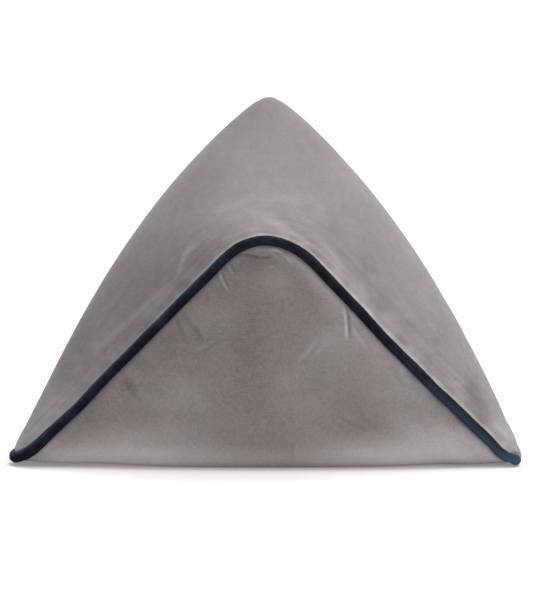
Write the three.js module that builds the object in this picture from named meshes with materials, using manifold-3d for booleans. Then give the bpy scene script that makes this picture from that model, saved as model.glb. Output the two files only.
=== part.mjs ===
// A stuffed pyramid pillow with a contrasting welt, standing on its base.
// Units are millimetres. +Z is up, the welted front panel faces -Y and the floor is z = 0.
// Two solids: the filled cushion, and the welt that runs round the edge of its base panel.
// The base panel lies under the pillow and turns up at the front as a round-topped triangle.
// The body panel wraps over from the welt to a soft top corner and is closed down the back.
import * as THREE from "three";
import { mergeVertices } from "three/addons/utils/BufferGeometryUtils.js";
import Module from "manifold-3d";

// Overall sizes
const TOP_HEIGHT = 366.5;
const TOP_DEPTH = 140;
const BACK_CORNER_DEPTH = 441;
const BACK_CORNER_BLUNTNESS = 0.06;
const TOP_ROUNDING = 13.2;

// Half the width seen from the front, as a cubic in the drop below the top corner
const WIDTH_AT_TOP = 1.151;
const WIDTH_TAPER = -0.689;
const WIDTH_BELLY = 0.237;
const FOOT_TUCK = 6;
const FOOT_TUCK_HEIGHT = 35;

// Front arch of the welt: two straight legs that meet in an arc
const ARCH_TOP = 231;
const ARCH_RADIUS = 58;
const LEG_SLOPE = 1.02;

// Front panel
const PANEL_DEPTH_AT_FLOOR = 18;
const PANEL_DEPTH_AT_ARCH = 26;
const PANEL_CROWN = 30;
const CROWN_SOFTNESS = 0.35;
const FRONT_ROLL_HEIGHT = 42;
const FRONT_ROLL_DEPTH = 24;

// Widest line of the flanks, and the corner that each level has at the front
const FLANK_DEPTH_AT_FLOOR = 25;
const NOSE_SHARPNESS = 0.25;
const NOSE_SHARPNESS_AT_TOP = 0.9;
const FLANK_TURN = 0.6;
const FLANK_TURN_AT_TOP = 0.5;
const NOSE_REACH_AT_TOP = 0.55;
const NOSE_ROUNDING_HEIGHT = 90;
const NOSE_SMOOTHING = 16;
const SMOOTHING_SAMPLES = 8;

// Back ridge and the bulge of the two back flanks
const RIDGE_BELLY = 0.35;
const BACK_BULGE = 0.55;
const BACK_TURN = 0.36;
const BACK_BULGE_HEIGHT = 130;
const DRAWN_IN = 7;

// Seam height over the floor at the corners and halfway along the back edges
const LEFT_CORNER_LIFT = 10.7;
const RIGHT_CORNER_LIFT = 6.4;
const BACK_CORNER_LIFT = 8.5;
const EDGE_LIFT = 13;
const UNDERSIDE_INSET = 34;

// Welt
const WELT_RADIUS = 5.25;
const WELT_PROUD = 2.5;
const WELT_GAP = 0.3;
const CORNER_REACH_LEFT = 256.3;
const CORNER_REACH_RIGHT = 252.4;

const LEG_ANGLE = Math.atan(LEG_SLOPE);
const LEG_MEETING = ARCH_TOP + ARCH_RADIUS * (1 / Math.cos(LEG_ANGLE) - 1);
const ARC_HALF_WIDTH = ARCH_RADIUS * Math.sin(LEG_ANGLE);
const ARC_FOOT = ARCH_TOP - ARCH_RADIUS * (1 - Math.cos(LEG_ANGLE));

const { sin, cos, sqrt, abs, pow, max, min, PI } = Math;
const mix = (a, b, t) => a + (b - a) * t;
const smooth = (low, high, v) => THREE.MathUtils.smoothstep(v, low, high);

// Distance below the top corner, rounded so that the corner is blunt
function roundedDrop(z) {
  const drop = max(TOP_HEIGHT - z, 0);
  return sqrt(drop * drop + 2 * TOP_ROUNDING * drop);
}

function halfWidth(z) {
  const t = (TOP_HEIGHT - z) / TOP_HEIGHT;
  const shape = WIDTH_AT_TOP + WIDTH_TAPER * t + WIDTH_BELLY * t * t;
  return shape * roundedDrop(z) - FOOT_TUCK * (1 - smooth(0, FOOT_TUCK_HEIGHT, z));
}

function flankDepth(z) {
  const t = z / TOP_HEIGHT;
  return mix(FLANK_DEPTH_AT_FLOOR, TOP_DEPTH, t * (2 - t));
}

function ridgeDepth(z) {
  const share = roundedDrop(z) / roundedDrop(0);
  return mix(TOP_DEPTH, BACK_CORNER_DEPTH, share * (1 + (RIDGE_BELLY * z) / TOP_HEIGHT));
}

// Height of the welt's arch over a place x, and half its width at a height z
function archHeight(x) {
  if (abs(x) < ARC_HALF_WIDTH) return ARCH_TOP - ARCH_RADIUS + sqrt(ARCH_RADIUS ** 2 - x * x);
  return LEG_MEETING - LEG_SLOPE * abs(x);
}

function archHalfWidth(z) {
  if (z < ARC_FOOT) return (LEG_MEETING - z) / LEG_SLOPE;
  const rise = min(z - (ARCH_TOP - ARCH_RADIUS), ARCH_RADIUS);
  return sqrt(ARCH_RADIUS ** 2 - rise * rise);
}

// Depth of the front panel: a leaning plane, crowned between the legs and rolled under at the floor
function panelDepth(x, z) {
  const plane = mix(PANEL_DEPTH_AT_FLOOR, PANEL_DEPTH_AT_ARCH, z / ARCH_TOP);
  const inside = (1 - z / LEG_MEETING) ** 2 - ((LEG_SLOPE * x) / LEG_MEETING) ** 2;
  const crown = (PANEL_CROWN * inside) / sqrt(abs(inside) + CROWN_SOFTNESS ** 2);
  const low = THREE.MathUtils.clamp(1 - z / FRONT_ROLL_HEIGHT, 0, 1);
  const roll = FRONT_ROLL_DEPTH * (1 - sqrt(1 - low * low));
  const share = THREE.MathUtils.clamp(2 * inside, 0, 1);
  return plane - crown + roll * share;
}

// How far a level has come round from its nose, 1, to its widest place, 0
function noseCurve(u, z) {
  const up = smooth(ARCH_TOP - 20, ARCH_TOP + NOSE_ROUNDING_HEIGHT, z);
  const sharp = mix(NOSE_SHARPNESS, NOSE_SHARPNESS_AT_TOP, up);
  const turn = mix(FLANK_TURN, FLANK_TURN_AT_TOP, up);
  const part = (sqrt(u * u + sharp * sharp) - sharp) / (sqrt(1 + sharp * sharp) - sharp);
  return pow(max(1 - part, 0), turn);
}

// Depth of a level's nose in front of its widest place, such that the body meets the panel on the arch
function noseReachAt(z) {
  if (z < ARCH_TOP) {
    const x = archHalfWidth(z);
    return (flankDepth(z) - panelDepth(x, z)) / noseCurve(x / halfWidth(z), z);
  }
  const drop = (TOP_HEIGHT - z) / (TOP_HEIGHT - ARCH_TOP);
  const reachAtArch = (TOP_DEPTH - PANEL_DEPTH_AT_ARCH) / roundedDrop(ARCH_TOP);
  const front = TOP_DEPTH - mix(NOSE_REACH_AT_TOP, reachAtArch, drop) * roundedDrop(z);
  return flankDepth(z) - front;
}

// The same, averaged over nearby levels, so that no ridge runs round the body at the arch's top
function noseReach(z) {
  const window = NOSE_SMOOTHING * smooth(0, 60, z) * smooth(0, 40, TOP_HEIGHT - z);
  let sum = 0;
  for (let k = 0; k <= SMOOTHING_SAMPLES; k++) {
    sum += noseReachAt(z + window * ((2 * k) / SMOOTHING_SAMPLES - 1));
  }
  return sum / (SMOOTHING_SAMPLES + 1);
}

// Height of the seam between base and body at an angle round the pillow, 0 at the front
function seamHeight(angle) {
  const corner = sin(angle) < 0 ? LEFT_CORNER_LIFT : RIGHT_CORNER_LIFT;
  if (cos(angle) > 0) return corner;
  const along = 1 - abs(sin(angle));
  return mix(corner, BACK_CORNER_LIFT, along) + EDGE_LIFT * sin(PI * along);
}

// A point of the body panel at an angle round the pillow and a height
function bodyPoint(angle, z) {
  const u = abs(sin(angle));
  const x = halfWidth(z) * sin(angle);
  if (cos(angle) > 0) {
    return new THREE.Vector3(x, flankDepth(z) - noseReach(z) * noseCurve(u, z), z);
  }
  const over = THREE.MathUtils.clamp((z - seamHeight(angle)) / BACK_BULGE_HEIGHT, 0, 1);
  const full = sqrt(over * (2 - over));
  const blunt = (sqrt(u * u + BACK_CORNER_BLUNTNESS ** 2) - BACK_CORNER_BLUNTNESS)
    / (sqrt(1 + BACK_CORNER_BLUNTNESS ** 2) - BACK_CORNER_BLUNTNESS);
  const curve = pow(max(1 - pow(blunt, 1 + BACK_BULGE * full), 0), 1 - BACK_TURN * full);
  const drawn = DRAWN_IN * 4 * u * (1 - u) * (1 - full);
  return new THREE.Vector3(x, mix(flankDepth(z), ridgeDepth(z), curve) - drawn, z);
}

// A point of the base panel between the seam, 0, and the flat it stands on, 1
function undersidePoint(angle, share) {
  const seam = bodyPoint(angle, seamHeight(angle));
  const inward = new THREE.Vector3(-seam.x, TOP_DEPTH - seam.y, 0).normalize();
  const turn = (share * PI) / 2;
  seam.addScaledVector(inward, UNDERSIDE_INSET * (1 - cos(turn)));
  seam.z *= 1 - sin(turn);
  return seam;
}

function geometryOf(points, triangles) {
  const geometry = new THREE.BufferGeometry();
  geometry.setAttribute("position", new THREE.Float32BufferAttribute(points.flatMap((p) => [p.x, p.y, p.z]), 3));
  geometry.setIndex(triangles);
  return geometry;
}

// Rings of points from the floor to the top, closed by a point at each end
function loft(rings, bottom, top) {
  const count = rings[0].length;
  const points = [...rings.flat(), bottom, top];
  const [low, high] = [points.length - 2, points.length - 1];
  const triangles = [];
  for (let i = 0; i < count; i++) {
    const j = (i + 1) % count;
    triangles.push(low, j, i);
    for (let r = 0; r < rings.length - 1; r++) {
      const [a, b] = [r * count + i, r * count + j];
      triangles.push(a, b, b + count, a, b + count, a + count);
    }
    const last = (rings.length - 1) * count;
    triangles.push(last + i, last + j, high);
  }
  return geometryOf(points, triangles);
}

const BODY_COLUMNS = 60;
const BODY_ROWS = 26;
const UNDERSIDE_ROWS = 3;

function bodyGeometry() {
  const angles = Array.from({ length: BODY_COLUMNS }, (_, i) => (2 * PI * i) / BODY_COLUMNS);
  const rings = [];
  for (let r = 0; r < UNDERSIDE_ROWS; r++) {
    rings.push(angles.map((angle) => undersidePoint(angle, 1 - r / UNDERSIDE_ROWS)));
  }
  for (let r = 0; r < BODY_ROWS; r++) {
    const share = 1 - (1 - r / BODY_ROWS) ** 1.3;
    rings.push(angles.map((angle) => bodyPoint(angle, mix(seamHeight(angle), TOP_HEIGHT, share))));
  }
  const middle = new THREE.Vector3(0, TOP_DEPTH, 0);
  const top = new THREE.Vector3(0, TOP_DEPTH, TOP_HEIGHT);
  return loft(rings, middle, top);
}

const PANEL_HALF_WIDTH = 300;
const PANEL_COLUMNS = 30;
const PANEL_LEVELS = 28;
const PANEL_FLOOR = -4;
const PANEL_CEILING = TOP_HEIGHT + 30;
const BEHIND = 600;

// Everything behind the front panel's surface: it cuts the body to the panel
function behindPanelGeometry() {
  const width = PANEL_COLUMNS + 1;
  const sheet = (depth) => {
    const points = [];
    for (let k = 0; k <= PANEL_LEVELS; k++) {
      const z = mix(PANEL_FLOOR, PANEL_CEILING, (k / PANEL_LEVELS) ** 1.5);
      for (let i = 0; i <= PANEL_COLUMNS; i++) {
        const x = PANEL_HALF_WIDTH * ((2 * i) / PANEL_COLUMNS - 1);
        points.push(new THREE.Vector3(x, depth ?? panelDepth(x, max(z, 0)), z));
      }
    }
    return points;
  };
  const points = [...sheet(), ...sheet(BEHIND)];
  const back = points.length / 2;
  const triangles = [];
  const quad = (a, b, c, d) => triangles.push(a, b, c, a, c, d);
  for (let k = 0; k < PANEL_LEVELS; k++) {
    for (let i = 0; i < PANEL_COLUMNS; i++) {
      const a = k * width + i;
      quad(a, a + 1, a + 1 + width, a + width);
      quad(back + a, back + a + width, back + a + 1 + width, back + a + 1);
    }
    const [left, right] = [k * width, k * width + PANEL_COLUMNS];
    quad(left, left + width, back + left + width, back + left);
    quad(right, back + right, back + right + width, right + width);
  }
  for (let i = 0; i < PANEL_COLUMNS; i++) {
    const over = PANEL_LEVELS * width + i;
    quad(i, back + i, back + i + 1, i + 1);
    quad(over, over + 1, back + over + 1, back + over);
  }
  return geometryOf(points, triangles);
}

const LEG_POINTS = 9;
const ARC_POINTS = 6;
const EDGE_POINTS = 9;
const CORNER_DEPTH = 24;
const LEG_FOOT = 226;

function weltOnPanel(x) {
  const z = archHeight(x);
  return new THREE.Vector3(x, panelDepth(x, z) - WELT_PROUD, z);
}

// One back edge from its front corner to the back corner, both left out
function weltOnEdge(side) {
  const points = [];
  for (let k = 1; k <= EDGE_POINTS; k++) {
    const angle = side * mix(PI / 2, PI, k / (EDGE_POINTS + 1));
    const point = bodyPoint(angle, seamHeight(angle));
    const outward = new THREE.Vector3(side * sin(PI / 3), cos(PI / 3), 0);
    points.push(point.addScaledVector(outward, WELT_PROUD));
  }
  return points;
}

// The welt's closed centre line: up the left leg, over the arch, down the right leg and round the back
function weltLine() {
  const points = [];
  for (let k = 0; k < LEG_POINTS; k++) {
    points.push(weltOnPanel(-mix(LEG_FOOT, ARC_HALF_WIDTH, k / LEG_POINTS)));
  }
  for (let k = 0; k <= ARC_POINTS; k++) {
    points.push(weltOnPanel(ARC_HALF_WIDTH * ((2 * k) / ARC_POINTS - 1)));
  }
  for (let k = LEG_POINTS - 1; k >= 0; k--) {
    points.push(weltOnPanel(mix(LEG_FOOT, ARC_HALF_WIDTH, k / LEG_POINTS)));
  }
  points.push(new THREE.Vector3(CORNER_REACH_RIGHT, CORNER_DEPTH, RIGHT_CORNER_LIFT));
  points.push(...weltOnEdge(1));
  const backCorner = bodyPoint(PI, BACK_CORNER_LIFT);
  points.push(backCorner.setY(backCorner.y + WELT_PROUD));
  points.push(...weltOnEdge(-1).reverse());
  points.push(new THREE.Vector3(-CORNER_REACH_LEFT, CORNER_DEPTH, LEFT_CORNER_LIFT));
  return new THREE.CatmullRomCurve3(points, true, "centripetal");
}

const WELT_STEPS = 150;
const WELT_SIDES = 8;

const wasm = await Module();
wasm.setup();

function solid(geometry) {
  geometry.deleteAttribute("normal");
  geometry.deleteAttribute("uv");
  const merged = mergeVertices(geometry, 1e-3);
  const vertProperties = merged.attributes.position.array;
  const triVerts = new Uint32Array(merged.index.array);
  return new wasm.Manifold(new wasm.Mesh({ numProp: 3, vertProperties, triVerts }));
}

function geometryFrom(manifold) {
  const { vertProperties, triVerts } = manifold.getMesh();
  const geometry = new THREE.BufferGeometry();
  geometry.setAttribute("position", new THREE.BufferAttribute(vertProperties, 3));
  geometry.setIndex(new THREE.BufferAttribute(triVerts, 1));
  geometry.computeVertexNormals();
  return geometry;
}

const line = weltLine();
const weltTube = (radius) => new THREE.TubeGeometry(line, WELT_STEPS, radius, WELT_SIDES, true);

const filled = solid(bodyGeometry())
  .intersect(solid(behindPanelGeometry()))
  .subtract(solid(weltTube(WELT_RADIUS + WELT_GAP)));

const velvet = new THREE.MeshStandardMaterial({ color: 0x8f8a8a, roughness: 0.9, metalness: 0 });
const navySatin = new THREE.MeshStandardMaterial({ color: 0x26303f, roughness: 0.55, metalness: 0 });

const cushion = new THREE.Mesh(geometryFrom(filled), velvet);
cushion.name = "cushion";

const welt = new THREE.Mesh(weltTube(WELT_RADIUS), navySatin);
welt.name = "welt";

const pillow = new THREE.Group();
pillow.name = "pyramid_pillow";
pillow.add(cushion, welt);

// The part's own origin is on the floor, in the middle of its outline seen from above
const middle = new THREE.Box3().setFromObject(pillow).getCenter(new THREE.Vector3());
pillow.position.set(-middle.x, -middle.y, 0);

export default pillow;
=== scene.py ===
"""Looks of the stuffed pyramid pillow: velvet cushion, navy welt and closing seam.

The shape repeats the sizes of the part, in metres, with the front fold at depth 0. The finished pieces
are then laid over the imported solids, in the part's own frame.
"""

import math
import random
from collections import namedtuple

import bmesh
import bpy
import numpy as np
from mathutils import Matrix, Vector
from mathutils.kdtree import KDTree


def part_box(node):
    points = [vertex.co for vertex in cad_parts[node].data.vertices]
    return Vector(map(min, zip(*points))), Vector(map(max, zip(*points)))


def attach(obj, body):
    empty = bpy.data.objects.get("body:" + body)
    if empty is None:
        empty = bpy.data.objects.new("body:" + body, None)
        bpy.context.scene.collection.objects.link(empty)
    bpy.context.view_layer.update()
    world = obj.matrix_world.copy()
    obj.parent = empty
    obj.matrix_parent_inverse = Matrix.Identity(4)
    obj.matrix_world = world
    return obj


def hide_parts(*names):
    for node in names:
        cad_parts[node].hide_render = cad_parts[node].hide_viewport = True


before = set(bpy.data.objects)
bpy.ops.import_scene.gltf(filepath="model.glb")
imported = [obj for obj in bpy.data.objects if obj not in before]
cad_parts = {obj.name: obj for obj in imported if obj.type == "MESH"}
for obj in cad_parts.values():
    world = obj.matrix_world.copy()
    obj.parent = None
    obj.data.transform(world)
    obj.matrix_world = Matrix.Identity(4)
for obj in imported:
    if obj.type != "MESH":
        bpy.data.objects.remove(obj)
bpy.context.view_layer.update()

# Sizes of the cushion, as in the part but for a slightly sharper top and less tuck at the foot
TOP_HEIGHT = 0.3665
TOP_DEPTH = 0.140
TOP_ROUNDING = 0.0122
BACK_CORNER_DEPTH = 0.441
BACK_CORNER_BLUNTNESS = 0.06
WIDTH_AT_TOP = 1.151
WIDTH_TAPER = -0.689
WIDTH_BELLY = 0.237
FOOT_TUCK = 0.002
FOOT_TUCK_HEIGHT = 0.035
ARCH_TOP = 0.231
ARCH_RADIUS = 0.058
LEG_SLOPE = 1.02
PANEL_DEPTH_AT_FLOOR = 0.018
PANEL_DEPTH_AT_ARCH = 0.026
PANEL_CROWN = 0.030
CROWN_SOFTNESS = 0.35
FRONT_ROLL_HEIGHT = 0.042
FRONT_ROLL_DEPTH = 0.024
FLANK_DEPTH_AT_FLOOR = 0.025
NOSE_SHARPNESS = 0.25
NOSE_SHARPNESS_AT_TOP = 0.9
FLANK_TURN = 0.6
FLANK_TURN_AT_TOP = 0.5
NOSE_REACH_AT_TOP = 0.55
NOSE_ROUNDING_START = 0.020
NOSE_ROUNDING_HEIGHT = 0.090
NOSE_SMOOTHING = 0.016
SMOOTHING_SAMPLES = 8
SMOOTHING_FADE_AT_FLOOR = 0.060
SMOOTHING_FADE_AT_TOP = 0.040
RIDGE_BELLY = 0.35
BACK_BULGE = 0.55
BACK_TURN = 0.36
BACK_BULGE_HEIGHT = 0.130
DRAWN_IN = 0.007
EDGE_LIFT = 0.013
UNDERSIDE_INSET = 0.034

# Sizes of the welt, close to the part's, with its corners as they lie in the photo
WELT_RADIUS = 0.0051
WELT_PROUD = 0.0024
LEFT_CORNER_LIFT = 0.0060
RIGHT_CORNER_LIFT = 0.0051
BACK_CORNER_LIFT = 0.0085
CORNER_REACH_LEFT = 0.2558
CORNER_REACH_RIGHT = 0.2502
CORNER_DEPTH_LEFT = 0.024
CORNER_DEPTH_RIGHT = 0.019
LEG_FOOT = 0.236
CORNER_SQUEEZE_LEFT = 0.0012
CORNER_SQUEEZE_RIGHT = 0.0115

LEG_ANGLE = math.atan(LEG_SLOPE)
LEG_MEETING = ARCH_TOP + ARCH_RADIUS * (1 / math.cos(LEG_ANGLE) - 1)
ARC_HALF_WIDTH = ARCH_RADIUS * math.sin(LEG_ANGLE)
ARC_FOOT = ARCH_TOP - ARCH_RADIUS * (1 - math.cos(LEG_ANGLE))


def mix(a, b, t):
    return a + (b - a) * t


def smooth(low, high, v):
    t = np.clip((v - low) / (high - low), 0, 1)
    return t * t * (3 - 2 * t)


def hump(distance, width):
    """1 at distance 0, falling softly to nothing at about twice the width."""
    return np.exp(-((distance / width) ** 2))


def rounded_drop(z):
    drop = np.maximum(TOP_HEIGHT - z, 0)
    return np.sqrt(drop * drop + 2 * TOP_ROUNDING * drop)


def half_width(z):
    t = (TOP_HEIGHT - z) / TOP_HEIGHT
    shape = WIDTH_AT_TOP + WIDTH_TAPER * t + WIDTH_BELLY * t * t
    return shape * rounded_drop(z) - FOOT_TUCK * (1 - smooth(0, FOOT_TUCK_HEIGHT, z))


def flank_depth(z):
    t = z / TOP_HEIGHT
    return mix(FLANK_DEPTH_AT_FLOOR, TOP_DEPTH, t * (2 - t))


def ridge_depth(z):
    share = rounded_drop(z) / rounded_drop(0.0)
    return mix(TOP_DEPTH, BACK_CORNER_DEPTH, share * (1 + RIDGE_BELLY * z / TOP_HEIGHT))


def arch_height(x):
    arc = ARCH_TOP - ARCH_RADIUS + np.sqrt(np.maximum(ARCH_RADIUS**2 - x * x, 0))
    return np.where(np.abs(x) < ARC_HALF_WIDTH, arc, LEG_MEETING - LEG_SLOPE * np.abs(x))


def arch_half_width(z):
    rise = np.clip(z - (ARCH_TOP - ARCH_RADIUS), -ARCH_RADIUS, ARCH_RADIUS)
    return np.where(z < ARC_FOOT, (LEG_MEETING - z) / LEG_SLOPE, np.sqrt(ARCH_RADIUS**2 - rise * rise))


def panel_depth(x, z):
    """Depth of the front panel: a leaning plane, crowned between the legs and rolled under at the floor."""
    plane = mix(PANEL_DEPTH_AT_FLOOR, PANEL_DEPTH_AT_ARCH, z / ARCH_TOP)
    inside = (1 - z / LEG_MEETING) ** 2 - (LEG_SLOPE * x / LEG_MEETING) ** 2
    crown = PANEL_CROWN * inside / np.sqrt(np.abs(inside) + CROWN_SOFTNESS**2)
    low = np.clip(1 - z / FRONT_ROLL_HEIGHT, 0, 1)
    roll = FRONT_ROLL_DEPTH * (1 - np.sqrt(1 - low * low))
    return plane - crown + roll * np.clip(2 * inside, 0, 1)


def nose_curve(u, z):
    """How far a level has come round from its nose, 1, to its widest place, 0."""
    up = smooth(ARCH_TOP - NOSE_ROUNDING_START, ARCH_TOP + NOSE_ROUNDING_HEIGHT, z)
    sharp = mix(NOSE_SHARPNESS, NOSE_SHARPNESS_AT_TOP, up)
    part = (np.sqrt(u * u + sharp * sharp) - sharp) / (np.sqrt(1 + sharp * sharp) - sharp)
    return np.maximum(1 - part, 0) ** mix(FLANK_TURN, FLANK_TURN_AT_TOP, up)


def nose_reach_at(z):
    low = np.minimum(z, ARCH_TOP)
    x = arch_half_width(low)
    below = (flank_depth(low) - panel_depth(x, low)) / nose_curve(x / half_width(low), low)
    drop = (TOP_HEIGHT - z) / (TOP_HEIGHT - ARCH_TOP)
    reach_at_arch = (TOP_DEPTH - PANEL_DEPTH_AT_ARCH) / rounded_drop(ARCH_TOP)
    front = TOP_DEPTH - mix(NOSE_REACH_AT_TOP, reach_at_arch, drop) * rounded_drop(z)
    return np.where(z < ARCH_TOP, below, flank_depth(z) - front)


def nose_reach(z):
    window = NOSE_SMOOTHING * smooth(0, SMOOTHING_FADE_AT_FLOOR, z)
    window = window * smooth(0, SMOOTHING_FADE_AT_TOP, TOP_HEIGHT - z)
    steps = np.linspace(-1, 1, SMOOTHING_SAMPLES + 1)
    return sum(nose_reach_at(z + window * step) for step in steps) / len(steps)


def seam_height(angle):
    corner = np.where(np.sin(angle) < 0, LEFT_CORNER_LIFT, RIGHT_CORNER_LIFT)
    along = 1 - np.abs(np.sin(angle))
    back = mix(corner, BACK_CORNER_LIFT, along) + EDGE_LIFT * np.sin(np.pi * along)
    return np.where(np.cos(angle) > 0, corner, back)


def body_points(angle, z):
    """Points of the body panel at angles round the pillow, 0 at the front, and heights."""
    u = np.abs(np.sin(angle))
    front = flank_depth(z) - nose_reach(z) * nose_curve(u, z)
    over = np.clip((z - seam_height(angle)) / BACK_BULGE_HEIGHT, 0, 1)
    full = np.sqrt(over * (2 - over))
    blunt = BACK_CORNER_BLUNTNESS
    turn = (np.sqrt(u * u + blunt**2) - blunt) / (math.sqrt(1 + blunt**2) - blunt)
    curve = np.maximum(1 - turn ** (1 + BACK_BULGE * full), 0) ** (1 - BACK_TURN * full)
    back = mix(flank_depth(z), ridge_depth(z), curve) - DRAWN_IN * 4 * u * (1 - u) * (1 - full)
    depth = np.where(np.cos(angle) > 0, front, back)
    return np.stack([half_width(z) * np.sin(angle), depth, z + 0 * depth], -1)


def underside_points(angle, share):
    """Points of the base panel between the seam, 0, and the flat it stands on, 1."""
    points = body_points(angle, seam_height(angle))
    inward = np.stack([-points[:, 0], TOP_DEPTH - points[:, 1]], -1)
    inward /= np.linalg.norm(inward, axis=1, keepdims=True)
    turn = share * math.pi / 2
    points[:, :2] += inward * UNDERSIDE_INSET * (1 - math.cos(turn))
    points[:, 2] *= 1 - math.sin(turn)
    return points


# The photo's camera: low, square on and far off, about one pixel a millimetre at the fold

CAMERA_ELEVATION = math.radians(8)
CAMERA_DISTANCE = 2.6
AIM_ACROSS = -0.0019
AIM_DEPTH = 0.120
AIM_HEIGHT = 0.1578
PIXELS_A_METRE = 1004
IMAGE_HEIGHT = 596
SENSOR = 36.0

CAMERA_BACK = np.array([0, -math.cos(CAMERA_ELEVATION), math.sin(CAMERA_ELEVATION)])
CAMERA_UP = np.array([0, math.sin(CAMERA_ELEVATION), math.cos(CAMERA_ELEVATION)])
CAMERA_PLACE = np.array([AIM_ACROSS, AIM_DEPTH, AIM_HEIGHT]) + CAMERA_BACK * CAMERA_DISTANCE
FOLD_DISTANCE = CAMERA_DISTANCE - AIM_DEPTH * math.cos(CAMERA_ELEVATION)
FLOOR_LINE = 0.1690


def front_view(points):
    """Where the camera sees each point: across, and up from the floor edge, at the front fold's scale."""
    seen = points - CAMERA_PLACE
    scale = FOLD_DISTANCE / (seen @ -CAMERA_BACK)
    return seen[:, 0] * scale, (seen @ CAMERA_UP) * scale + FLOOR_LINE


# The welt's route

LEG_POINTS = 11
ARC_POINTS = 6
EDGE_POINTS = 9
STEPS_A_POINT = 36
SQUEEZE_DEPTHS = (0.03, 0.12)

# Across the front, how far the welt lies over its even line
WANDER = [
    # x, rise
    (-0.250, 0.0016),
    (-0.236, 0.0034),
    (-0.222, 0.0030),
    (-0.205, 0.0020),
    (-0.190, 0.0008),
    (-0.165, 0.0022),
    (-0.130, 0.0016),
    (-0.088, 0.0012),
    (-0.057, 0.0003),
    (-0.015, -0.0010),
    (0.030, -0.0034),
    (0.056, -0.0032),
    (0.080, -0.0038),
    (0.120, -0.0060),
    (0.160, -0.0052),
    (0.200, -0.0030),
    (0.225, -0.0018),
    (0.236, -0.0030),
    (0.242, -0.0042),
    (0.249, -0.0010),
]
# The wander fades out over these distances from the welt and depths, and in over these heights
WANDER_DISTANCES = (0.012, 0.075)
WANDER_DEPTHS = (0.040, 0.100)
WANDER_HEIGHTS = (0.002, 0.020)

# Toward its corners the floor edge of the front lies a little off the floor
EDGE_RISE_LEFT = 0.0024
EDGE_RISE_RIGHT = 0.0014
EDGE_RISE_SIDES = (-0.01, 0.01)
EDGE_RISE_REACH = (0.09, 0.17)
EDGE_RISE_HEIGHT = 0.05


def wander(x):
    """Rise of the welt at x, eased from place to place of the table."""
    places, rises = (np.array(column) for column in zip(*WANDER))
    i = np.clip(np.searchsorted(places, x) - 1, 0, len(places) - 2)
    return mix(rises[i], rises[i + 1], smooth(0, 1, (x - places[i]) / (places[i + 1] - places[i])))


def wandered(points, distance):
    """Carries the front's welt, and the cloth near it, from the even line to where the photo has it."""
    reach = 1 - smooth(*WANDER_DISTANCES, distance)
    front = 1 - smooth(*WANDER_DEPTHS, points[:, 1])
    off_floor = smooth(*WANDER_HEIGHTS, points[:, 2])
    moved = points.copy()
    moved[:, 2] += wander(points[:, 0]) * reach * front * off_floor
    low = 1 - smooth(0, EDGE_RISE_HEIGHT, points[:, 2])
    rise = mix(EDGE_RISE_LEFT, EDGE_RISE_RIGHT, smooth(*EDGE_RISE_SIDES, points[:, 0]))
    moved[:, 2] += rise * smooth(*EDGE_RISE_REACH, np.abs(points[:, 0])) * low * front
    return moved


def catmull_rom(points, steps):
    """A closed centripetal curve through the points, with so many steps between each two."""
    out = []
    count = len(points)
    for i in range(count):
        p = [points[(i + k - 1) % count] for k in range(4)]
        gap = [max(np.linalg.norm(p[k + 1] - p[k]) ** 0.5, 1e-6) for k in range(3)]
        start = (p[1] - p[0]) / gap[0] - (p[2] - p[0]) / (gap[0] + gap[1]) + (p[2] - p[1]) / gap[1]
        end = (p[2] - p[1]) / gap[1] - (p[3] - p[1]) / (gap[1] + gap[2]) + (p[3] - p[2]) / gap[2]
        start, end = start * gap[1], end * gap[1]
        for k in range(steps):
            t = k / steps
            cubic = 2 * p[1] - 2 * p[2] + start + end
            square = -3 * p[1] + 3 * p[2] - 2 * start - end
            out.append(p[1] + start * t + square * t * t + cubic * t**3)
    return np.array(out)


def welt_line():
    """The welt's closed centre line: up the left leg, over the arch, down the right leg, round the back."""
    legs = mix(LEG_FOOT, ARC_HALF_WIDTH, np.arange(LEG_POINTS) / LEG_POINTS)
    arc = ARC_HALF_WIDTH * (2 * np.arange(ARC_POINTS + 1) / ARC_POINTS - 1)
    x = np.concatenate([-legs, arc, legs[::-1]])
    z = arch_height(x)
    front = np.stack([x, panel_depth(x, z) - WELT_PROUD, z], -1)
    edges = []
    for side in (1, -1):
        angle = side * mix(math.pi / 2, math.pi, np.arange(1, EDGE_POINTS + 1) / (EDGE_POINTS + 1))
        outward = np.array([side * math.sin(math.pi / 3), math.cos(math.pi / 3), 0])
        edges.append(body_points(angle, seam_height(angle)) + outward * WELT_PROUD)
    corner = body_points(np.array([math.pi]), np.array([BACK_CORNER_LIFT])) + [0, WELT_PROUD, 0]
    for edge, squeeze in zip(edges, (-CORNER_SQUEEZE_RIGHT, CORNER_SQUEEZE_LEFT)):
        edge[:, 0] += squeeze * (1 - smooth(*SQUEEZE_DEPTHS, edge[:, 1]))
    right = [[CORNER_REACH_RIGHT, CORNER_DEPTH_RIGHT, RIGHT_CORNER_LIFT]]
    left = [[-CORNER_REACH_LEFT, CORNER_DEPTH_LEFT, LEFT_CORNER_LIFT]]
    points = np.concatenate([front, right, edges[0], corner, edges[1][::-1], left])
    return catmull_rom(points, STEPS_A_POINT)


def shift_to_frame():
    """From the front fold's coordinates to the part's frame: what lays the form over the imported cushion."""
    low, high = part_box("cushion")
    fullest = panel_depth(0, np.linspace(0, ARCH_TOP, 200)).min()
    return np.array([(low[0] + high[0]) / 2, low[1] - fullest, 0])


EVEN_WELT_LINE = welt_line()
WELT_LINE = wandered(EVEN_WELT_LINE, np.zeros(len(EVEN_WELT_LINE)))
TO_FRAME = shift_to_frame()
WELT_STEPS = np.linalg.norm(np.roll(WELT_LINE, -1, 0) - WELT_LINE, axis=1)
WELT_LENGTHS = np.concatenate([[0], np.cumsum(WELT_STEPS)[:-1]])
WELT_LENGTH = float(WELT_STEPS.sum())


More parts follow.
